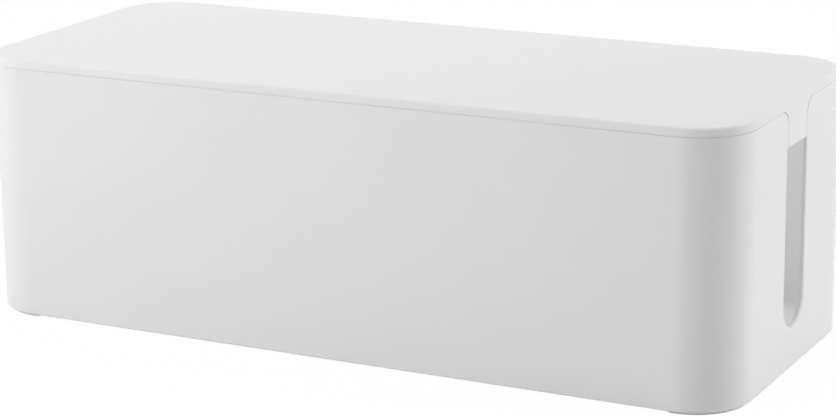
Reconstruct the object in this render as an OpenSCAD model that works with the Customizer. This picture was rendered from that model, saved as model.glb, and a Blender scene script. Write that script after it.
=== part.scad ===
// Cable box: an open tub with a cable slot in each end, a lift-off lid whose end
// tabs close the tops of the slots, and four soft pads under the corners.
// It stands on its pads at z = 0, centred on the origin, with its length along X.
// The front is at -Y and the right-hand end at +X. All sizes are in millimetres.

/* [Tub] */
// Length of the box along X
box_l = 400; // [320:1:460]
// Width of the box along Y
box_w = 165; // [140:1:200]
// Height of the tub from its underside to its rim
tub_h = 126; // [100:1:160]
// Radius of the upright corners
corner_r = 28; // [22:1:36]
// Thickness of the tub's walls at the rim
wall_t = 2; // [1.6:0.1:3]
// Thickness of the tub's walls at the floor, more than at the rim so that it leaves its mould
wall_low_t = 2.8; // [2:0.1:4]
// Thickness of the tub's floor
floor_t = 2.6; // [2:0.1:4]
// Rounding of the tub's bottom edge
base_edge_r = 1.2; // [0.6:0.1:1.5]
// Fillet inside the tub, where its walls meet the floor
floor_fillet_r = 3; // [1:0.5:6]
// Chamfer inside the tub's rim that guides the lid's lip in
rim_lead = 0.5; // [0.2:0.1:0.8]
// Rounding of the outer edges along the seam and round the tabs
edge_r = 0.4; // [0.2:0.1:0.7]

/* [Cable slots] */
// Width of the slot in each end of the tub
slot_w = 26; // [18:1:36]
// Height of a slot's lowest point above the tub's underside
slot_sill = 20; // [12:1:40]
// Rounding of the tub's rim where a slot opens at the top
slot_mouth_r = 8; // [4:0.5:10]
// Rounding of a slot's outer edge below the lid's tab, where the cables bear on it
slot_edge_r = 1.6; // [0.8:0.1:1.9]

/* [Lid] */
// Height of the lid's rim, from the seam to the lid's top
lid_rim_h = 4.3; // [3.6:0.1:8]
// Thickness of the lid's plate
lid_t = 2.3; // [1.8:0.1:3]
// Rounding of the lid's top edge
lid_edge_r = 1.2; // [0.6:0.1:1.8]
// How far the lid's rim leans in over its height
rim_lean = 0.4; // [0:0.05:0.6]
// Fillet under the lid, where its plate meets its rim
lid_fillet_r = 1; // [0.4:0.1:1.4]
// Thickness of the lip that locates the lid inside the tub
lip_t = 1.6; // [1.2:0.1:2.4]
// Depth of the lip below the seam
lip_h = 4; // [2:0.5:8]
// Gap between the lip and the inside of the tub's walls
lip_clear = 0.5; // [0.3:0.1:1]
// Rounding of the lip's lower edges
lip_edge_r = 0.5; // [0.2:0.1:0.5]

/* [Lid tabs] */
// Depth of a tab below the seam
tab_h = 18; // [15:0.5:40]
// Gap between a tab and the sides of its slot
tab_clear = 0.4; // [0.3:0.1:0.8]
// Rounding of a tab's lower corners
tab_corner_r = 1.5; // [1:0.5:4]
// How much smaller the fillet at a tab's root is than the rounded mouth that it seats in
root_ease = 1; // [0.5:0.1:2]

/* [Corner pads] */
// Width of a pad across its arc
pad_w = 8; // [5:0.5:12]
// Distance from the tub's outer wall to a pad
pad_inset = 2; // [2:0.1:4]
// Height at which the pads hold the tub above the surface
pad_stand = 1.2; // [0.8:0.1:3]
// Depth of the seat for a pad in the tub's underside
pad_seat = 0.8; // [0.4:0.1:1.2]
// Gap round a pad in its seat
pad_clear = 0.15; // [0.1:0.05:0.4]
// Rounding of a pad's lower edge
pad_edge_r = 0.5; // [0.2:0.1:0.7]

/* [Hidden] */
$fn = 96;
// How far a cutting solid runs past the face that it cuts
cut_over = 1;
// Heights above the surface
base_z = pad_stand;
floor_z = base_z + floor_t;
rim_z = base_z + tub_h;
top_z = rim_z + lid_rim_h;
// Straight lengths between the corner arcs
straight_l = box_l - 2 * corner_r;
straight_w = box_w - 2 * corner_r;
// Distances from the centre of a corner arc, measured outwards
cavity_r = corner_r - wall_t;
cavity_low_r = corner_r - wall_low_t;
lip_outer_r = cavity_r - lip_clear;
lip_inner_r = lip_outer_r - lip_t;
pad_arc_r = corner_r - pad_inset - pad_w / 2;
// Slot and tab on the end wall
slot_half = slot_w / 2;
slot_centre_z = base_z + slot_sill + slot_half;
mouth_centre_y = slot_half + slot_mouth_r;
mouth_centre_z = rim_z - slot_mouth_r;
tab_half = slot_half - tab_clear;
tab_low_z = rim_z - tab_h;
tab_root_r = slot_mouth_r - root_ease;
root_centre_y = tab_half + tab_root_r;
root_centre_z = rim_z - tab_root_r;
tab_t = wall_t + lip_clear;
// Height at which a slot's fuller rounding ends, just under the tab
slot_round_z = tab_low_z - tab_clear;
// Upright height of the lid's rim above its rounded lower edge, before it leans in
rim_land = edge_r;

// Quarter of a disc, from the origin outwards in +X and +Y
module quarter_disc(r) {
    intersection() {
        circle(r);
        square(r);
    }
}

// Rectangle from the origin to [w, h] with its lower outer corner rounded
module low_round_rect(w, h, r) {
    square([w - r, r]);
    translate([w - r, r]) mirror([0, 1]) quarter_disc(r);
    translate([0, r]) square([w, h - r]);
}

// Rectangle from the origin to [w, h] with both outer corners rounded
module outer_round_rect(w, h, low_r, high_r) {
    low_round_rect(w, h - high_r, low_r);
    translate([0, h - high_r]) square([w - high_r, high_r]);
    translate([w - high_r, h - high_r]) quarter_disc(high_r);
}

// Part of a disc, from the given angle up to the Y axis
module disc_to_upright(r, start_angle) {
    intersection() {
        circle(r);
        polygon([[0, 0], [2 * r * cos(start_angle), 2 * r * sin(start_angle)], [2 * r, 2 * r], [0, 2 * r]]);
    }
}

// Rectangle of width w about the Y axis, up to h, with both lower corners rounded
module foot_round_rect(w, h, r) {
    for (side = [0, 1]) mirror([side, 0]) low_round_rect(w / 2, h, r);
}

// Sweeps an upright section round the box's outline. The section's x runs outwards
// from the centres of the corner arcs, and its y is the height.
module sweep_outline() {
    for (turn = [0 : 3]) {
        along = turn % 2 == 0 ? straight_l : straight_w;
        across = turn % 2 == 0 ? straight_w : straight_l;
        rotate(90 * turn) translate([along / 2, across / 2, 0]) {
            rotate_extrude(angle = 90) children();
            rotate([90, 0, 0]) linear_extrude(across) children();
        }
    }
}

// Fills the middle of a swept floor or plate
module middle_plate(z, t) {
    translate([-straight_l / 2, -straight_w / 2, z]) cube([straight_l, straight_w, t]);
}

// Draws its children on an end wall: their x runs along Y, their y is the height, and
// their z runs outwards from the wall's outer face
module on_end(left) {
    mirror([left ? 1 : 0, 0, 0]) translate([box_l / 2, 0, 0]) rotate([90, 0, 90]) children();
}

// Extrudes an outline on the end wall inwards from its outer face
module through_end(left, depth) {
    on_end(left) translate([0, 0, -depth]) linear_extrude(depth) children();
}

// What rounding takes off an outer edge. Its x points out of the material along the
// wall, its y points outwards, and its origin is the centre of the rounding.
module edge_cut(r) {
    difference() {
        square(r + cut_over);
        circle(r);
    }
}

// Rounds a straight edge of the given length on the end wall, which starts at a point and
// runs along a heading with the material on its left
module round_line(start, heading, length, r = edge_r) {
    translate([start.x, start.y, -r]) rotate(heading) translate([0, r, 0])
        rotate([90, 0, 90]) linear_extrude(length) mirror([1, 0]) edge_cut(r);
}

// Rounds an edge on the end wall along an arc, with the material inside or outside the arc
module round_arc(centre, arc_r, start_angle, sweep, material_inside, r = edge_r) {
    translate([centre.x, centre.y, -r]) rotate(start_angle) rotate_extrude(angle = sweep)
        translate([material_inside ? arc_r - r : arc_r + r, 0])
            mirror([material_inside ? 0 : 1, 0]) edge_cut(r);
}

// The slot's outline in the end wall: straight sides, a half-round sill and a flared mouth
module slot_outline() {
    translate([-slot_half, slot_centre_z]) square([slot_w, rim_z - slot_centre_z + cut_over]);
    translate([0, slot_centre_z]) intersection() {
        circle(slot_half);
        translate([-slot_half, -slot_half]) square([slot_w, slot_half]);
    }
    for (side = [0, 1]) mirror([side, 0]) difference() {
        translate([slot_half, mouth_centre_z]) square([slot_mouth_r, slot_mouth_r + cut_over]);
        translate([mouth_centre_y, mouth_centre_z]) circle(slot_mouth_r);
    }
}

// Rounds the outer edge of a slot, from one side of its mouth to the other: finely beside
// the tab, and fully where the cables pass
module round_slot_edge() {
    fine_low_z = slot_round_z - slot_edge_r;
    fine_h = mouth_centre_z - fine_low_z;
    full_h = slot_round_z - slot_centre_z;
    round_arc([-mouth_centre_y, mouth_centre_z], slot_mouth_r, 0, 90, true);
    round_line([-slot_half, fine_low_z], 90, fine_h);
    round_line([-slot_half, slot_centre_z], 90, full_h, slot_edge_r);
    round_arc([0, slot_centre_z], slot_half, 180, 180, false, slot_edge_r);
    round_line([slot_half, slot_round_z], -90, full_h, slot_edge_r);
    round_line([slot_half, mouth_centre_z], -90, fine_h);
    round_arc([mouth_centre_y, mouth_centre_z], slot_mouth_r, 90, 90, true);
}

// A lid tab's outline: it widens at its root, where it fills the lid's rounded lower edge
module tab_outline() {
    translate([0, tab_low_z]) foot_round_rect(2 * tab_half, tab_h, tab_corner_r);
    difference() {
        translate([-root_centre_y, root_centre_z])
            square([2 * root_centre_y, tab_root_r + edge_r + rim_land / 2]);
        for (side = [-1, 1]) translate([side * root_centre_y, root_centre_z]) circle(tab_root_r);
    }
}

// Rounds the outer edge of a tab, from one side of its root to the other
module round_tab_edge() {
    corner_y = tab_half - tab_corner_r;
    corner_z = tab_low_z + tab_corner_r;
    side_h = root_centre_z - corner_z;
    round_arc([-root_centre_y, root_centre_z], tab_root_r, 0, 90, false);
    round_line([-tab_half, root_centre_z], -90, side_h);
    round_arc([-corner_y, corner_z], tab_corner_r, 180, 90, true);
    round_line([-corner_y, tab_low_z], 0, 2 * corner_y);
    round_arc([corner_y, corner_z], tab_corner_r, 270, 90, true);
    round_line([tab_half, corner_z], 90, side_h);
    round_arc([root_centre_y, root_centre_z], tab_root_r, 90, 90, false);
}

// The hollow of the tub: a filleted floor, drafted walls and a lead-in at the rim
module cavity_section() {
    fillet_z = floor_z + floor_fillet_r;
    translate([0, floor_z]) square([cavity_low_r - floor_fillet_r, floor_fillet_r]);
    translate([cavity_low_r - floor_fillet_r, fillet_z]) mirror([0, 1]) quarter_disc(floor_fillet_r);
    polygon([
        [0, fillet_z],
        [cavity_low_r, fillet_z],
        [cavity_r, rim_z - rim_lead],
        [cavity_r + rim_lead, rim_z],
        [cavity_r + rim_lead, rim_z + cut_over],
        [0, rim_z + cut_over],
    ]);
}

module tub_section() {
    difference() {
        translate([0, base_z]) outer_round_rect(corner_r, tub_h, base_edge_r, edge_r);
        cavity_section();
    }
}

// The lid without its hollow, from the seam up: a rim that stands upright at first and
// then leans in to the rounded top edge
module lid_outer_section() {
    lean = atan(rim_lean / lid_rim_h);
    land_top = edge_r + rim_land;
    side_l = (lid_rim_h - lid_edge_r * (1 - sin(lean)) - land_top) / cos(lean);
    round_x = corner_r - side_l * sin(lean) - lid_edge_r * cos(lean);
    round_y = lid_rim_h - lid_edge_r;
    low_round_rect(corner_r, land_top, edge_r);
    polygon([
        [0, land_top],
        [corner_r, land_top],
        [round_x + lid_edge_r * cos(lean), round_y + lid_edge_r * sin(lean)],
        [round_x, round_y],
        [round_x, lid_rim_h],
        [0, lid_rim_h],
    ]);
    translate([round_x, round_y]) disc_to_upright(lid_edge_r, lean);
}

module lid_section() {
    hollow_h = lid_rim_h - lid_t;
    difference() {
        translate([0, rim_z]) lid_outer_section();
        translate([0, rim_z + hollow_h]) mirror([0, 1])
            low_round_rect(lip_inner_r, hollow_h + cut_over, lid_fillet_r);
    }
    translate([lip_inner_r + lip_t / 2, rim_z - lip_h]) foot_round_rect(lip_t, lip_h, lip_edge_r);
}

// Places its children at the centre of a corner's arc, with the arc from 0 to 90 degrees
module at_corner(front, left) {
    mirror([left ? 1 : 0, 0, 0]) mirror([0, front ? 1 : 0, 0])
        translate([straight_l / 2, straight_w / 2, 0]) children();
}

// Sweeps the half section of a pad along a corner's arc, with round ends
module sweep_pad() {
    rotate_extrude(angle = 90) translate([pad_arc_r, 0]) {
        children();
        mirror([1, 0]) children();
    }
    translate([pad_arc_r, 0, 0]) rotate(180) rotate_extrude(angle = 180) children();
    translate([0, pad_arc_r, 0]) rotate(90) rotate_extrude(angle = 180) children();
}

module tub() {
    color("white") difference() {
        union() {
            sweep_outline() tub_section();
            middle_plate(base_z, floor_t);
        }
        for (left = [false, true]) {
            through_end(left, wall_low_t + cut_over) slot_outline();
            on_end(left) round_slot_edge();
        }
        for (front = [false, true], left = [false, true])
            at_corner(front, left) translate([0, 0, base_z - cut_over])
                sweep_pad() square([pad_w / 2 + pad_clear, pad_seat + cut_over]);
    }
}

module lid() {
    color("white") difference() {
        union() {
            sweep_outline() lid_section();
            middle_plate(top_z - lid_t, lid_t);
            for (left = [false, true]) through_end(left, tab_t) tab_outline();
        }
        for (left = [false, true]) on_end(left) round_tab_edge();
    }
}

module foot(front, left) {
    color("gainsboro") at_corner(front, left)
        sweep_pad() low_round_rect(pad_w / 2, pad_stand + pad_seat, pad_edge_r);
}

tub();
lid();
foot(front = true, left = true);  // foot_front_left
foot(front = true, left = false);  // foot_front_right
foot(front = false, left = true);  // foot_back_left
foot(front = false, left = false);  // foot_back_right
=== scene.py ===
"""Cable box of white satin plastic with a lift-off lid and rubber feet, on a plain studio floor."""
import math
from contextlib import contextmanager

import bmesh
import bpy
from mathutils import Matrix, Vector


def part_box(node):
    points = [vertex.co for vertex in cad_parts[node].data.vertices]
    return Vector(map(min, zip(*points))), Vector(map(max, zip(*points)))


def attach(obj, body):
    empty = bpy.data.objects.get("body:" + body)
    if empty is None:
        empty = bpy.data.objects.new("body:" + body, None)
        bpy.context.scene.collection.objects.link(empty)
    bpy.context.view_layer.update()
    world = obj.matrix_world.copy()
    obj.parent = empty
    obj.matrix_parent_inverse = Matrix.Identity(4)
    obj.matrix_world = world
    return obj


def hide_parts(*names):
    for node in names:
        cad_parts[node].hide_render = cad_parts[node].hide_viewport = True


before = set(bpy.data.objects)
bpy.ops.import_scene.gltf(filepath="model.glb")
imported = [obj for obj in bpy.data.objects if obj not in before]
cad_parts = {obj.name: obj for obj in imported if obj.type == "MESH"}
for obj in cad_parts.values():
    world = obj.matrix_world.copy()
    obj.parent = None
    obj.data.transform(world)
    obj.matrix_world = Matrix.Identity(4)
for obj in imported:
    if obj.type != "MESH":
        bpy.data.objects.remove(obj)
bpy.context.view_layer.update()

# Sizes of the mouldings in metres, as the solids have them
MM = 0.001
CORNER_R = 28 * MM
WALL_T = 2 * MM
WALL_LOW_T = 2.8 * MM
FLOOR_T = 2.6 * MM
BASE_EDGE_R = 1.2 * MM
FLOOR_FILLET_R = 3 * MM
RIM_LEAD = 0.5 * MM
EDGE_R = 0.4 * MM
SLOT_W = 26 * MM
SLOT_SILL = 20 * MM
MOUTH_R = 8 * MM
SLOT_EDGE_R = 1.6 * MM
LID_T = 2.3 * MM
LID_EDGE_R = 1.2 * MM
RIM_LEAN = 0.4 * MM
LID_FILLET_R = 1 * MM
LIP_T = 1.6 * MM
LIP_H = 4 * MM
LIP_CLEAR = 0.5 * MM
LIP_EDGE_R = 0.5 * MM
TAB_CLEAR = 0.4 * MM
TAB_CORNER_R = 1.5 * MM
ROOT_EASE = 1 * MM
PAD_W = 8 * MM
PAD_INSET = 2 * MM
PAD_SEAT = 0.8 * MM
PAD_CLEAR = 0.15 * MM
PAD_EDGE_R = 0.5 * MM

# Heights and reaches that the solids' boxes give
tub_low, tub_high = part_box("tub")
lid_low, lid_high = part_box("lid")
HALF_L = tub_high.x
HALF_W = tub_high.y
BASE_Z = tub_low.z
RIM_Z = tub_high.z
TOP_Z = lid_high.z
TAB_LOW_Z = lid_low.z
FLOOR_Z = BASE_Z + FLOOR_T
STRAIGHT_X = HALF_L - CORNER_R
STRAIGHT_Y = HALF_W - CORNER_R
SLOT_HALF = SLOT_W / 2
SLOT_CENTRE_Z = BASE_Z + SLOT_SILL + SLOT_HALF
SLOT_ROUND_Z = TAB_LOW_Z - TAB_CLEAR

# Above the seam's rounding, the lid's rim stands upright as far again before it leans in
RIM_LAND_Z = RIM_Z + 2 * EDGE_R

# How close two places are taken as the same, and how close a place is taken as on a wall
TOUCH = 5e-6
WALL_TOUCH = 0.1 * MM

# How far a cutter runs past what it cuts, and a tab's root into the lid's rim
CUT_OVER = 2 * MM
ROOT_OVER = 0.6 * MM

# Turns in degrees: up to the first two faces are one flat, and past the second an edge is sharp
FLAT_ANGLE = 0.1
SHARP_ANGLE = 32

# How far large faces lead small ones in the shading, from 1 to 100, where 50 is even
FLAT_WEIGHT = 60

# Steps of the rounded forms; an arc's are for a quarter turn
CORNER_STEPS = 28
EDGE_STEPS = 5
FINE_STEPS = 4
FILLET_STEPS = 8
ARC_STEPS = 20
FLARE_STEPS = 8

# Axes
ALONG_X = (1.0, 0.0, 0.0)
ALONG_Z = (0.0, 0.0, 1.0)

# Each foot's corner: whether it is at the front, and at the left
CORNERS = {
    "foot_front_left": (True, True),
    "foot_front_right": (True, False),
    "foot_back_left": (False, True),
    "foot_back_right": (False, False),
}

# Camera: where it stands in metres, and where it looks in degrees
CAMERA_PLACE = (0.5796, -1.1176, 0.3976)
CAMERA_YAW = 27.22
CAMERA_PITCH = 15.20
CAMERA_ROLL = -0.74
CAMERA_LENS = 113.5
SENSOR_WIDTH = 36.0

# Finishes, as linear colours
SHELL_SHADE = (0.826, 0.827, 0.826, 1.0)
SHELL_LIGHT = (0.852, 0.852, 0.852, 1.0)
SPECK_COLOUR = (0.58, 0.57, 0.55, 1.0)
INSIDE_SHADE = (0.83, 0.83, 0.828, 1.0)
INSIDE_LIGHT = (0.85, 0.85, 0.85, 1.0)
RUBBER_SHADE = (0.76, 0.76, 0.75, 1.0)
RUBBER_LIGHT = (0.80, 0.80, 0.79, 1.0)
THROUGH_COLOUR = (0.7, 0.7, 0.7, 1.0)
FLOOR_COLOUR = (0.9, 0.9, 0.9, 1.0)
WHITE = (1.0, 1.0, 1.0, 1.0)

# How deep light wanders in the plastic, in metres
GLOW_DEPTH = 1 * MM

# What a noise value mostly lies between
NOISE_RANGE = (0.25, 0.75)

# Places of a Mix node's two colour sockets, and of its coloured result
MIX_COLOURS = (6, 7)
MIX_RESULT = 2

# The floor: its size, how far it lies under the feet so that the two aren't one plane, and how
# white it is to the eye, between its own shade and pure white
FLOOR_SIZE = 20.0
FLOOR_DROP = 0.02 * MM
FLOOR_WHITE = 0.97

# Strength of the even light from all round
AMBIENT = 0.17

# Places that the lamps are turned to
BOX_MIDDLE = (0.0, 0.0, 0.06)
RIGHT_MIDDLE = (0.15, 0.0, 0.06)
LID_MIDDLE = (0.0, 0.0, 0.13)
LID_LEFT = (-0.1, 0.05, 0.13)

# Lamps: where each stands, what it is turned to, its width and height in metres, and its watts
SOFTBOXES = {
    "left_front_softbox": ((-0.55, -0.9, 0.6), BOX_MIDDLE, (0.6, 0.6), 4.8),
    "left_far_softbox": ((-1.05, -1.5, 0.95), BOX_MIDDLE, (0.9, 0.9), 8.0),
    "right_back_softbox": ((1.72, 0.74, 0.66), RIGHT_MIDDLE, (0.9, 0.9), 19.2),
    "left_back_softbox": ((-0.95, 1.45, 0.6), BOX_MIDDLE, (0.9, 0.9), 5.0),
    "top_back_softbox": ((-0.2, 0.42, 0.9), LID_LEFT, (0.7, 0.6), 2.5),
    "top_softbox": ((0.0, 0.0, 1.8), LID_MIDDLE, (1.2, 1.2), 4.4),
}


# Hand tools

@contextmanager
def editing(piece):
    """Edit mode on one piece alone."""
    bpy.ops.object.select_all(action="DESELECT")
    piece.select_set(True)
    bpy.context.view_layer.objects.active = piece
    bpy.ops.object.mode_set(mode="EDIT")
    yield
    bpy.ops.object.mode_set(mode="OBJECT")


def pick(kind, test):
    """Selects the vertices, edges or faces of the piece in hand that pass a test, and no others."""
    bpy.ops.mesh.select_mode(type=kind)
    bpy.ops.mesh.select_all(action="DESELECT")
    data = bpy.context.edit_object.data
    mesh = bmesh.from_edit_mesh(data)
    parts = {"VERT": mesh.verts, "EDGE": mesh.edges, "FACE": mesh.faces}[kind]
    for part in parts:
        if test(part):
            part.select_set(True)
    bmesh.update_edit_mesh(data)


def near(a, b):
    """Whether two measures are the same."""
    return abs(a - b) < TOUCH


def at_height(z):
    """A test for an edge that lies flat at a height."""
    return lambda edge: all(near(v.co.z, z) for v in edge.verts)


def is_upright(edge):
    """Whether an edge stands upright."""
    a, b = (v.co for v in edge.verts)
    return near(a.x, b.x) and near(a.y, b.y)


def reach(point):
    """How far a point lies outside the rectangle of the corner arcs' centres."""
    return math.hypot(max(abs(point.x) - STRAIGHT_X, 0.0), max(abs(point.y) - STRAIGHT_Y, 0.0))


def on_outline(point):
    """Whether a point lies on the box's outer walls."""
    return abs(reach(point) - CORNER_R) < WALL_TOUCH


def round_edges(radius, steps=EDGE_STEPS):
    """Rounds the selected edges."""
    bpy.ops.mesh.bevel(offset=radius, segments=steps, profile=0.5, affect="EDGES", clamp_overlap=False)


def start_block(name, low, high):
    """A block between two corners, with its place in its mesh."""
    bpy.ops.object.select_all(action="DESELECT")
    low, high = Vector(low), Vector(high)
    bpy.ops.mesh.primitive_cube_add(size=1.0, location=(low + high) / 2, scale=high - low)
    bpy.ops.object.transform_apply(location=True, rotation=True, scale=True)
    block = bpy.context.object
    block.name = name
    return block


def start_outline(name, point):
    """A single vertex in edit mode, from which an outline is drawn."""
    bpy.ops.object.select_all(action="DESELECT")
    bpy.ops.mesh.primitive_plane_add(size=MM, location=point)
    bpy.ops.object.transform_apply(location=True, rotation=True, scale=True)
    outline = bpy.context.object
    outline.name = name
    bpy.ops.object.mode_set(mode="EDIT")
    bpy.ops.mesh.select_mode(type="VERT")
    bpy.ops.mesh.select_all(action="SELECT")
    bpy.ops.mesh.merge(type="CENTER")
    return outline


def draw_line(offset):
    """Draws the outline straight on from its end."""
    bpy.ops.mesh.extrude_region_move(TRANSFORM_OT_translate={"value": offset})


def draw_arc(centre, axis, turn):
    """Turns the end of the outline about a centre, by degrees to the left about the axis."""
    steps = round(ARC_STEPS * abs(turn) / 90)
    bpy.ops.mesh.spin(steps=steps, angle=-math.radians(turn), center=centre, axis=axis)


def push_outline(offset):
    """Fills the drawn outline and pushes it out to a solid."""
    bpy.ops.mesh.select_all(action="SELECT")
    bpy.ops.mesh.remove_doubles(threshold=TOUCH)
    bpy.ops.mesh.edge_face_add()
    bpy.ops.mesh.extrude_region_move(TRANSFORM_OT_translate={"value": offset})
    bpy.ops.mesh.select_all(action="SELECT")
    bpy.ops.mesh.normals_make_consistent(inside=False)
    bpy.ops.object.mode_set(mode="OBJECT")


def apply_boolean(piece, tool, operation):
    """Cuts a tool out of a piece, or joins it on, and removes the tool."""
    bpy.ops.object.select_all(action="DESELECT")
    piece.select_set(True)
    bpy.context.view_layer.objects.active = piece
    change = piece.modifiers.new(operation.lower(), "BOOLEAN")
    change.operation = operation
    change.solver = "EXACT"
    change.object = tool
    bpy.ops.object.modifier_apply(modifier=change.name)
    bpy.data.objects.remove(tool)


def finish_mesh(piece):
    """Merges doubles, turns the faces outwards, and shades flats flat and rounds round."""
    with editing(piece):
        bpy.ops.mesh.select_all(action="SELECT")
        bpy.ops.mesh.remove_doubles(threshold=TOUCH)
        bpy.ops.mesh.normals_make_consistent(inside=False)
    bpy.ops.object.shade_smooth_by_angle(angle=math.radians(SHARP_ANGLE))
    shading = piece.modifiers.new("flat_faces_first", "WEIGHTED_NORMAL")
    shading.weight = FLAT_WEIGHT
    shading.keep_sharp = True
    bpy.ops.object.modifier_apply(modifier=shading.name)


# The tub

def slot_cutter(side):
    """The space of a cable slot: flared at the rim and half round at the sill."""
    x = side * (HALF_L - WALL_LOW_T - CUT_OVER)
    mouth_z = RIM_Z - MOUTH_R
    mouth_y = SLOT_HALF + MOUTH_R
    cutter = start_outline("slot_cutter", (x, -mouth_y, RIM_Z + CUT_OVER))
    draw_line((0.0, 0.0, -CUT_OVER))
    draw_arc((x, -mouth_y, mouth_z), ALONG_X, -90)
    draw_line((0.0, 0.0, SLOT_CENTRE_Z - mouth_z))
    draw_arc((x, 0.0, SLOT_CENTRE_Z), ALONG_X, 180)
    draw_line((0.0, 0.0, mouth_z - SLOT_CENTRE_Z))
    draw_arc((x, mouth_y, mouth_z), ALONG_X, -90)
    draw_line((0.0, 0.0, CUT_OVER))
    push_outline((side * (WALL_LOW_T + 2 * CUT_OVER), 0.0, 0.0))
    return cutter


def slot_flare(side):
    """What the fuller rounding takes off a slot's outer edge, below the lid's tab."""
    half = SLOT_HALF + SLOT_EDGE_R
    straight = SLOT_ROUND_Z + 2 * SLOT_EDGE_R - SLOT_CENTRE_Z
    x = side * (HALF_L + CUT_OVER)
    flare = start_outline("slot_flare", (x, -half, SLOT_CENTRE_Z + straight))
    draw_line((0.0, 0.0, -straight))
    draw_arc((x, 0.0, SLOT_CENTRE_Z), ALONG_X, 180)
    draw_line((0.0, 0.0, straight))
    push_outline((-side * CUT_OVER, 0.0, 0.0))
    with editing(flare):
        pick("FACE", lambda face: near(abs(face.calc_center_median().x), HALF_L))
        for step in range(FLARE_STEPS):
            start, end = (math.pi / 2 * (step + i) / FLARE_STEPS for i in (0, 1))
            closer = SLOT_EDGE_R * (math.sin(end) - math.sin(start))
            deeper = SLOT_EDGE_R * (math.cos(start) - math.cos(end))
            bpy.ops.mesh.inset(thickness=closer, depth=deeper)
        draw_line((-side * (WALL_LOW_T + CUT_OVER), 0.0, 0.0))
        bpy.ops.mesh.select_all(action="SELECT")
        bpy.ops.mesh.bisect(
            plane_co=(0.0, 0.0, SLOT_ROUND_Z), plane_no=ALONG_Z, use_fill=True, clear_outer=True
        )
    return flare


def corner_pad(name, front, left, half_w, low_z, height):
    """A flat pad that follows a corner's arc and has round ends."""
    arc_r = CORNER_R - PAD_INSET - PAD_W / 2
    x = -STRAIGHT_X if left else STRAIGHT_X
    y = -STRAIGHT_Y if front else STRAIGHT_Y
    centre = Vector((x, y, low_z))
    first_angles = {(False, False): 0, (False, True): 90, (True, True): 180, (True, False): 270}
    start = first_angles[(front, left)]

    def spoke(angle, r):
        angle = math.radians(angle)
        return centre + Vector((r * math.cos(angle), r * math.sin(angle), 0.0))

    pad = start_outline(name, spoke(start, arc_r + half_w))
    draw_arc(centre, ALONG_Z, 90)
    draw_arc(spoke(start + 90, arc_r), ALONG_Z, 180)
    draw_arc(centre, ALONG_Z, -90)
    draw_arc(spoke(start, arc_r), ALONG_Z, 180)
    push_outline((0.0, 0.0, height))
    return pad


def make_tub():
    """The tub: hollowed from a rounded block, slotted at its ends and seated for its pads."""
    tub = start_block("tub_moulding", (-HALF_L, -HALF_W, BASE_Z), (HALF_L, HALF_W, RIM_Z))
    with editing(tub):
        pick("EDGE", is_upright)
        round_edges(CORNER_R, CORNER_STEPS)
        pick("EDGE", at_height(BASE_Z))
        round_edges(BASE_EDGE_R)
        pick("FACE", lambda face: near(face.calc_center_median().z, RIM_Z))
        bpy.ops.mesh.inset(thickness=WALL_T - RIM_LEAD)
        bpy.ops.mesh.inset(thickness=RIM_LEAD, depth=-RIM_LEAD)
        bpy.ops.mesh.inset(thickness=WALL_LOW_T - WALL_T, depth=FLOOR_Z + RIM_LEAD - RIM_Z)
        pick("EDGE", at_height(FLOOR_Z))
        round_edges(FLOOR_FILLET_R, FILLET_STEPS)
    for side in (-1, 1):
        apply_boolean(tub, slot_cutter(side), "DIFFERENCE")
        apply_boolean(tub, slot_flare(side), "DIFFERENCE")
    for front, left in CORNERS.values():
        half_w = PAD_W / 2 + PAD_CLEAR
        seat = corner_pad("pad_seat", front, left, half_w, BASE_Z - CUT_OVER, PAD_SEAT + CUT_OVER)
        apply_boolean(tub, seat, "DIFFERENCE")

    def is_outer_edge(edge):
        points = [v.co for v in edge.verts]
        if all(near(p.z, RIM_Z) and on_outline(p) for p in points):
            return True
        at_end = all(near(abs(p.x), HALF_L) for p in points)
        by_mouth = all(abs(p.y) < SLOT_HALF + MOUTH_R + TOUCH for p in points)
        above = max(p.z for p in points) > SLOT_ROUND_Z + TOUCH
        return at_end and by_mouth and above

    with editing(tub):
        bpy.ops.mesh.select_all(action="SELECT")
        bpy.ops.mesh.remove_doubles(threshold=TOUCH)
        pick("EDGE", is_outer_edge)
        round_edges(EDGE_R, FINE_STEPS)
    finish_mesh(tub)
    return tub


# The lid

def lid_tab(side):
    """A tab that fills the top of a cable slot, with fillets at its root."""
    half = SLOT_HALF - TAB_CLEAR
    root_r = MOUTH_R - ROOT_EASE
    depth = WALL_T + LIP_CLEAR
    x = side * (HALF_L - depth)
    low_z = TAB_LOW_Z + TAB_CORNER_R
    root_z = RIM_Z - root_r
    corner_y = half - TAB_CORNER_R
    tab = start_outline("lid_tab", (x, -half - root_r, RIM_Z + ROOT_OVER))
    draw_line((0.0, 0.0, -ROOT_OVER))
    draw_arc((x, -half - root_r, root_z), ALONG_X, -90)
    draw_line((0.0, 0.0, low_z - root_z))
    draw_arc((x, -corner_y, low_z), ALONG_X, 90)
    draw_line((0.0, 2 * corner_y, 0.0))
    draw_arc((x, corner_y, low_z), ALONG_X, 90)
    draw_line((0.0, 0.0, root_z - low_z))
    draw_arc((x, half + root_r, root_z), ALONG_X, -90)
    draw_line((0.0, 0.0, ROOT_OVER))
    push_outline((side * depth, 0.0, 0.0))
    return tab


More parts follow.
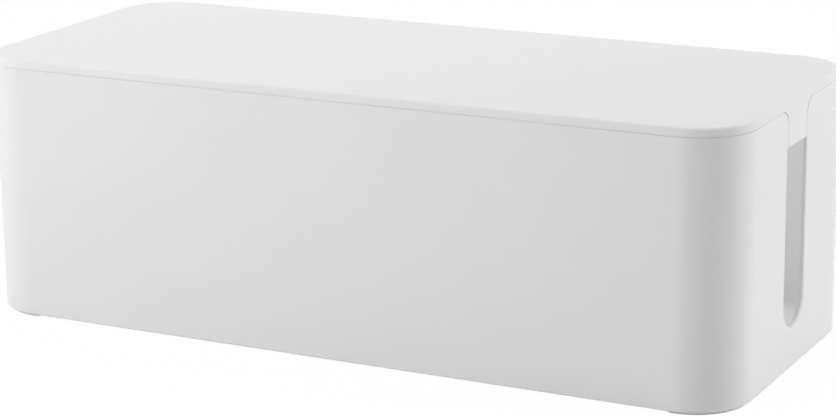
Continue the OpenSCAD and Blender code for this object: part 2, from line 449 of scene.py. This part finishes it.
def make_lid():
    """The lid: a plate with a leaning rim and a lip under it, and a tab at each end."""
    lean = math.atan2(RIM_LEAN, TOP_Z - RIM_Z)
    lid = start_block("lid_moulding", (-HALF_L, -HALF_W, RIM_Z), (HALF_L, HALF_W, RIM_LAND_Z))
    with editing(lid):
        pick("EDGE", is_upright)
        round_edges(CORNER_R, CORNER_STEPS)
        pick("FACE", lambda face: near(face.calc_center_median().z, RIM_LAND_Z))
        side_h = TOP_Z - RIM_LAND_Z
        bpy.ops.mesh.inset(thickness=side_h * math.tan(lean), depth=side_h)
        pick("EDGE", at_height(TOP_Z))
        round_edges(LID_EDGE_R * math.tan((math.pi / 2 - lean) / 2))
        pick("FACE", lambda face: near(face.calc_center_median().z, RIM_Z))
        bpy.ops.mesh.inset(thickness=WALL_T + LIP_CLEAR)
        bpy.ops.mesh.extrude_region_move(TRANSFORM_OT_translate={"value": (0.0, 0.0, -LIP_H)})
        bpy.ops.mesh.inset(thickness=LIP_T)
        bpy.ops.mesh.extrude_region_move(
            TRANSFORM_OT_translate={"value": (0.0, 0.0, TOP_Z - LID_T - RIM_Z + LIP_H)}
        )
        pick("EDGE", at_height(TOP_Z - LID_T))
        round_edges(LID_FILLET_R, FINE_STEPS)
        pick("EDGE", at_height(RIM_Z - LIP_H))
        round_edges(LIP_EDGE_R, FINE_STEPS)
    for side in (-1, 1):
        apply_boolean(lid, lid_tab(side), "UNION")

    def is_outer_edge(edge):
        points = [v.co for v in edge.verts]
        root_y = SLOT_HALF - TAB_CLEAR + MOUTH_R - ROOT_EASE
        if all(near(p.z, RIM_Z) and on_outline(p) for p in points):
            return not all(abs(p.y) < root_y + TOUCH and near(abs(p.x), HALF_L) for p in points)
        at_end = all(near(abs(p.x), HALF_L) for p in points)
        return at_end and all(p.z < RIM_Z + TOUCH for p in points)

    with editing(lid):
        bpy.ops.mesh.select_all(action="SELECT")
        bpy.ops.mesh.remove_doubles(threshold=TOUCH)
        pick("FACE", lambda face: all(near(abs(v.co.x), HALF_L) for v in face.verts))
        bpy.ops.mesh.dissolve_limited(angle_limit=math.radians(FLAT_ANGLE))
        pick("EDGE", is_outer_edge)
        round_edges(EDGE_R, FINE_STEPS)
    finish_mesh(lid)
    return lid


def make_foot(name, front, left):
    """A rubber pad, let into its seat and rounded where it stands."""
    foot = corner_pad(name + "_pad", front, left, PAD_W / 2, 0.0, BASE_Z + PAD_SEAT)
    with editing(foot):
        pick("EDGE", at_height(0.0))
        round_edges(PAD_EDGE_R, FINE_STEPS)
    finish_mesh(foot)
    return foot


# Finishes

def add_node(tree, kind, **values):
    """A node with its settings, and with its input sockets set by name."""
    node = tree.nodes.new(kind)
    for name, value in values.items():
        socket = name.replace("_", " ").title()
        if socket in node.inputs:
            node.inputs[socket].default_value = value
        else:
            setattr(node, name, value)
    return node


def new_group(name, inputs, outputs):
    """A shader node group with named sockets, and the two nodes that hold them inside it."""
    group = bpy.data.node_groups.new(name, "ShaderNodeTree")
    for socket, kind in inputs:
        group.interface.new_socket(socket, in_out="INPUT", socket_type=kind)
    for socket, kind in outputs:
        group.interface.new_socket(socket, in_out="OUTPUT", socket_type=kind)
    return group, group.nodes.new("NodeGroupInput"), group.nodes.new("NodeGroupOutput")


def make_grain_group():
    """Fine grain of a moulded surface, and the slow drift of its tone and gloss."""
    group, given, result = new_group(
        "moulded_grain",
        [("Place", "NodeSocketVector"), ("Grains", "NodeSocketFloat"), ("Clouds", "NodeSocketFloat")],
        [("Height", "NodeSocketFloat"), ("Cloud", "NodeSocketFloat")],
    )
    grain = add_node(group, "ShaderNodeTexNoise", detail=2.0, roughness=0.6)
    cloud = add_node(group, "ShaderNodeTexNoise", detail=3.0, roughness=0.5)
    group.links.new(given.outputs["Place"], grain.inputs["Vector"])
    group.links.new(given.outputs["Grains"], grain.inputs["Scale"])
    group.links.new(given.outputs["Place"], cloud.inputs["Vector"])
    group.links.new(given.outputs["Clouds"], cloud.inputs["Scale"])
    group.links.new(grain.outputs["Fac"], result.inputs["Height"])
    group.links.new(cloud.outputs["Fac"], result.inputs["Cloud"])
    return group


def make_speck_group():
    """Sparse round specks of dust, where scattered points come close to the surface."""
    group, given, result = new_group(
        "dust_specks",
        [("Place", "NodeSocketVector"), ("Points", "NodeSocketFloat"), ("Radius", "NodeSocketFloat")],
        [("Speck", "NodeSocketFloat")],
    )
    points = add_node(group, "ShaderNodeTexVoronoi")
    size = add_node(group, "ShaderNodeMath", operation="MULTIPLY")
    speck = add_node(group, "ShaderNodeMapRange", interpolation_type="SMOOTHSTEP")
    speck.inputs["From Max"].default_value = 0.0
    group.links.new(given.outputs["Place"], points.inputs["Vector"])
    group.links.new(given.outputs["Points"], points.inputs["Scale"])
    group.links.new(given.outputs["Points"], size.inputs[0])
    group.links.new(given.outputs["Radius"], size.inputs[1])
    group.links.new(points.outputs["Distance"], speck.inputs["Value"])
    group.links.new(size.outputs["Value"], speck.inputs["From Min"])
    group.links.new(speck.outputs["Result"], result.inputs["Speck"])
    return group


def use_group(tree, group, **values):
    """Places a group in a material, on the piece's own coordinates."""
    node = tree.nodes.new("ShaderNodeGroup")
    node.node_tree = group
    for name, value in values.items():
        node.inputs[name.title()].default_value = value
    place = tree.nodes.new("ShaderNodeTexCoord")
    tree.links.new(place.outputs["Object"], node.inputs["Place"])
    return node


def blend_colours(tree, mask, low, high):
    """Goes from one colour to another with a mask; a colour may be another node's output."""
    mix = add_node(tree, "ShaderNodeMix", data_type="RGBA")
    tree.links.new(mask, mix.inputs["Factor"])
    for place, colour in zip(MIX_COLOURS, (low, high)):
        socket = mix.inputs[place]
        if isinstance(colour, bpy.types.NodeSocket):
            tree.links.new(colour, socket)
        else:
            socket.default_value = colour
    return mix.outputs[MIX_RESULT]


def spread(tree, value, low, high):
    """Spreads a noise value over a range."""
    steps = add_node(tree, "ShaderNodeMapRange")
    ends = ("From Min", "From Max", "To Min", "To Max")
    for end, level in zip(ends, (*NOISE_RANGE, low, high)):
        steps.inputs[end].default_value = level
    tree.links.new(value, steps.inputs["Value"])
    return steps.outputs["Result"]


def grained_material(name, colours, grains, clouds, gloss, relief, strength):
    """A moulded surface: its tone and gloss drift slowly, and fine grain breaks its shine."""
    material = bpy.data.materials.new(name)
    material.use_nodes = True
    tree = material.node_tree
    shader = tree.nodes["Principled BSDF"]
    grain = use_group(tree, grain_group, grains=grains, clouds=clouds)
    bump = add_node(tree, "ShaderNodeBump", strength=strength, distance=relief)
    tone = blend_colours(tree, grain.outputs["Cloud"], *colours)
    tree.links.new(tone, shader.inputs["Base Color"])
    tree.links.new(spread(tree, grain.outputs["Cloud"], *gloss), shader.inputs["Roughness"])
    tree.links.new(grain.outputs["Height"], bump.inputs["Height"])
    tree.links.new(bump.outputs["Normal"], shader.inputs["Normal"])
    return material, tree, shader, tone


def let_light_through(tree, shader, inside):
    """Lets light wander in the plastic, and lets it through the thin walls into the closed box.

    A ray is followed from the eye to the lamps, so it's one that bounces off something inside the
    hollow that passes: through the inner finish from its front, and the outer one from its back.
    """
    shader.inputs["Subsurface Weight"].default_value = 1.0
    shader.inputs["Subsurface Radius"].default_value = (1.0, 1.0, 1.0)
    shader.inputs["Subsurface Scale"].default_value = GLOW_DEPTH
    path = tree.nodes.new("ShaderNodeLightPath")
    passes = path.outputs["Is Diffuse Ray"]
    if not inside:
        face = tree.nodes.new("ShaderNodeNewGeometry")
        from_behind = add_node(tree, "ShaderNodeMath", operation="MULTIPLY")
        tree.links.new(passes, from_behind.inputs[0])
        tree.links.new(face.outputs["Backfacing"], from_behind.inputs[1])
        passes = from_behind.outputs["Value"]
    thin_wall = add_node(tree, "ShaderNodeBsdfTranslucent", color=THROUGH_COLOUR)
    mix = tree.nodes.new("ShaderNodeMixShader")
    tree.links.new(passes, mix.inputs["Fac"])
    tree.links.new(shader.outputs["BSDF"], mix.inputs[1])
    tree.links.new(thin_wall.outputs["BSDF"], mix.inputs[2])
    tree.links.new(mix.outputs["Shader"], tree.nodes["Material Output"].inputs["Surface"])


def outer_shell_material():
    """The white outside: satin, spark-eroded grain, with a few specks of dust."""
    material, tree, shader, tone = grained_material(
        "white_satin_plastic", (SHELL_SHADE, SHELL_LIGHT), grains=2200.0, clouds=18.0,
        gloss=(0.38, 0.46), relief=0.02 * MM, strength=0.35,
    )
    specks = use_group(tree, speck_group, points=75.0, radius=0.35 * MM)
    tinted = blend_colours(tree, specks.outputs["Speck"], tone, SPECK_COLOUR)
    tree.links.new(tinted, shader.inputs["Base Color"])
    let_light_through(tree, shader, inside=False)
    return material


def inner_shell_material():
    """The inside of the mouldings: smoother, from the mould's core."""
    material, tree, shader, _ = grained_material(
        "white_core_side", (INSIDE_SHADE, INSIDE_LIGHT), grains=900.0, clouds=9.0,
        gloss=(0.30, 0.36), relief=0.02 * MM, strength=0.15,
    )
    let_light_through(tree, shader, inside=True)
    return material


def rubber_material():
    """The feet: soft matte rubber with a coarser skin."""
    material, *_ = grained_material(
        "foot_rubber", (RUBBER_SHADE, RUBBER_LIGHT), grains=1400.0, clouds=60.0,
        gloss=(0.68, 0.8), relief=0.05 * MM, strength=0.5,
    )
    return material


def seen_rays(tree, unseen, seen):
    """One value for rays that light the scene, and another for rays that show the background."""
    path = tree.nodes.new("ShaderNodeLightPath")
    first = add_node(tree, "ShaderNodeMath", operation="MAXIMUM")
    both = add_node(tree, "ShaderNodeMath", operation="MAXIMUM")
    tree.links.new(path.outputs["Is Camera Ray"], first.inputs[0])
    tree.links.new(path.outputs["Is Glossy Ray"], first.inputs[1])
    tree.links.new(first.outputs["Value"], both.inputs[0])
    tree.links.new(path.outputs["Is Transmission Ray"], both.inputs[1])
    level = add_node(tree, "ShaderNodeMapRange")
    level.inputs["To Min"].default_value = unseen
    level.inputs["To Max"].default_value = seen
    tree.links.new(both.outputs["Value"], level.inputs["Value"])
    return level.outputs["Result"]


def floor_material():
    """White to the eye, and still a plain pale floor that takes the box's shadow."""
    material = bpy.data.materials.new("studio_floor")
    material.use_nodes = True
    tree = material.node_tree
    shader = tree.nodes["Principled BSDF"]
    shader.inputs["Base Color"].default_value = FLOOR_COLOUR
    shader.inputs["Roughness"].default_value = 1.0
    shader.inputs["Specular IOR Level"].default_value = 0.0
    white = add_node(tree, "ShaderNodeEmission", color=WHITE, strength=1.0)
    mix = tree.nodes.new("ShaderNodeMixShader")
    tree.links.new(seen_rays(tree, 0.0, FLOOR_WHITE), mix.inputs["Fac"])
    tree.links.new(shader.outputs["BSDF"], mix.inputs[1])
    tree.links.new(white.outputs["Emission"], mix.inputs[2])
    tree.links.new(mix.outputs["Shader"], tree.nodes["Material Output"].inputs["Surface"])
    return material


# The box

def is_tub_inside(face):
    """Faces of the hollow, whose walls lean out from the floor to the rim."""
    middle = face.calc_center_median()
    share = (RIM_Z - middle.z) / (RIM_Z - FLOOR_Z)
    hollow_reach = CORNER_R - WALL_T - share * (WALL_LOW_T - WALL_T)
    return FLOOR_Z - TOUCH < middle.z < RIM_Z - TOUCH and reach(middle) < hollow_reach + WALL_TOUCH


def is_lid_inside(face):
    """Faces under the lid, inside its rim."""
    middle = face.calc_center_median()
    return middle.z < TOP_Z - LID_EDGE_R and reach(middle) < CORNER_R - WALL_T - LIP_CLEAR + TOUCH


def coat(piece, outside, inside=None, is_inside=None):
    """Gives a piece its finish, and its inner faces a second one."""
    piece.data.materials.append(outside)
    if inside is None:
        return
    piece.data.materials.append(inside)
    with editing(piece):
        pick("FACE", is_inside)
        piece.active_material_index = 1
        bpy.ops.object.material_slot_assign()


def hand_in(piece, body, node):
    """Hangs a piece on the body it moves with, and hides the solid that it stands for."""
    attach(piece, body)
    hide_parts(node)


grain_group = make_grain_group()
speck_group = make_speck_group()
outer_shell = outer_shell_material()
inner_shell = inner_shell_material()
rubber = rubber_material()

tub = make_tub()
coat(tub, outer_shell, inner_shell, is_tub_inside)
hand_in(tub, "box", "tub")

lid = make_lid()
coat(lid, outer_shell, inner_shell, is_lid_inside)
hand_in(lid, "cover", "lid")

for node, (front, left) in CORNERS.items():
    foot = make_foot(node, front, left)
    coat(foot, rubber)
    hand_in(foot, "box", node)


# The studio

def studio_floor():
    """The plain floor that the box stands on."""
    bpy.ops.object.select_all(action="DESELECT")
    bpy.ops.mesh.primitive_plane_add(size=FLOOR_SIZE, location=(0.0, 0.0, -FLOOR_DROP))
    floor = bpy.context.object
    floor.name = "studio_floor"
    floor.data.materials.append(floor_material())


def softbox(name, place, target, size, power):
    """A rectangular area lamp at a place, turned to a target.

    The satin plastic mirrors the white studio round it, and not the lamp itself.
    """
    lamp = bpy.data.lights.new(name, "AREA")
    lamp.shape = "RECTANGLE"
    lamp.size, lamp.size_y = size
    lamp.energy = power
    holder = bpy.data.objects.new(name, lamp)
    bpy.context.collection.objects.link(holder)
    holder.visible_camera = False
    holder.visible_glossy = False
    aim = Vector(target) - Vector(place)
    holder.matrix_world = Matrix.Translation(place) @ aim.to_track_quat("-Z", "Y").to_matrix().to_4x4()


def world_light(strength):
    """Even light from all round, in front of a white background."""
    world = bpy.data.worlds.new("studio")
    world.use_nodes = True
    bpy.context.scene.world = world
    tree = world.node_tree
    background = tree.nodes["Background"]
    background.inputs["Color"].default_value = WHITE
    tree.links.new(seen_rays(tree, strength, 1.0), background.inputs["Strength"])


def photo_camera():
    """The camera, at the photograph's viewing angle."""
    yaw, pitch, roll = (math.radians(a) for a in (CAMERA_YAW, CAMERA_PITCH, CAMERA_ROLL))
    turn = (
        Matrix.Rotation(yaw, 4, "Z")
        @ Matrix.Rotation(math.pi / 2 - pitch, 4, "X")
        @ Matrix.Rotation(roll, 4, "Z")
    )
    camera = bpy.data.cameras.new("photo_camera")
    camera.lens = CAMERA_LENS
    camera.sensor_width = SENSOR_WIDTH
    holder = bpy.data.objects.new("photo_camera", camera)
    bpy.context.collection.objects.link(holder)
    holder.matrix_world = Matrix.Translation(CAMERA_PLACE) @ turn
    bpy.context.scene.camera = holder


studio_floor()
world_light(AMBIENT)
for name, settings in SOFTBOXES.items():
    softbox(name, *settings)
photo_camera()
bpy.context.scene.view_settings.view_transform = "Standard"
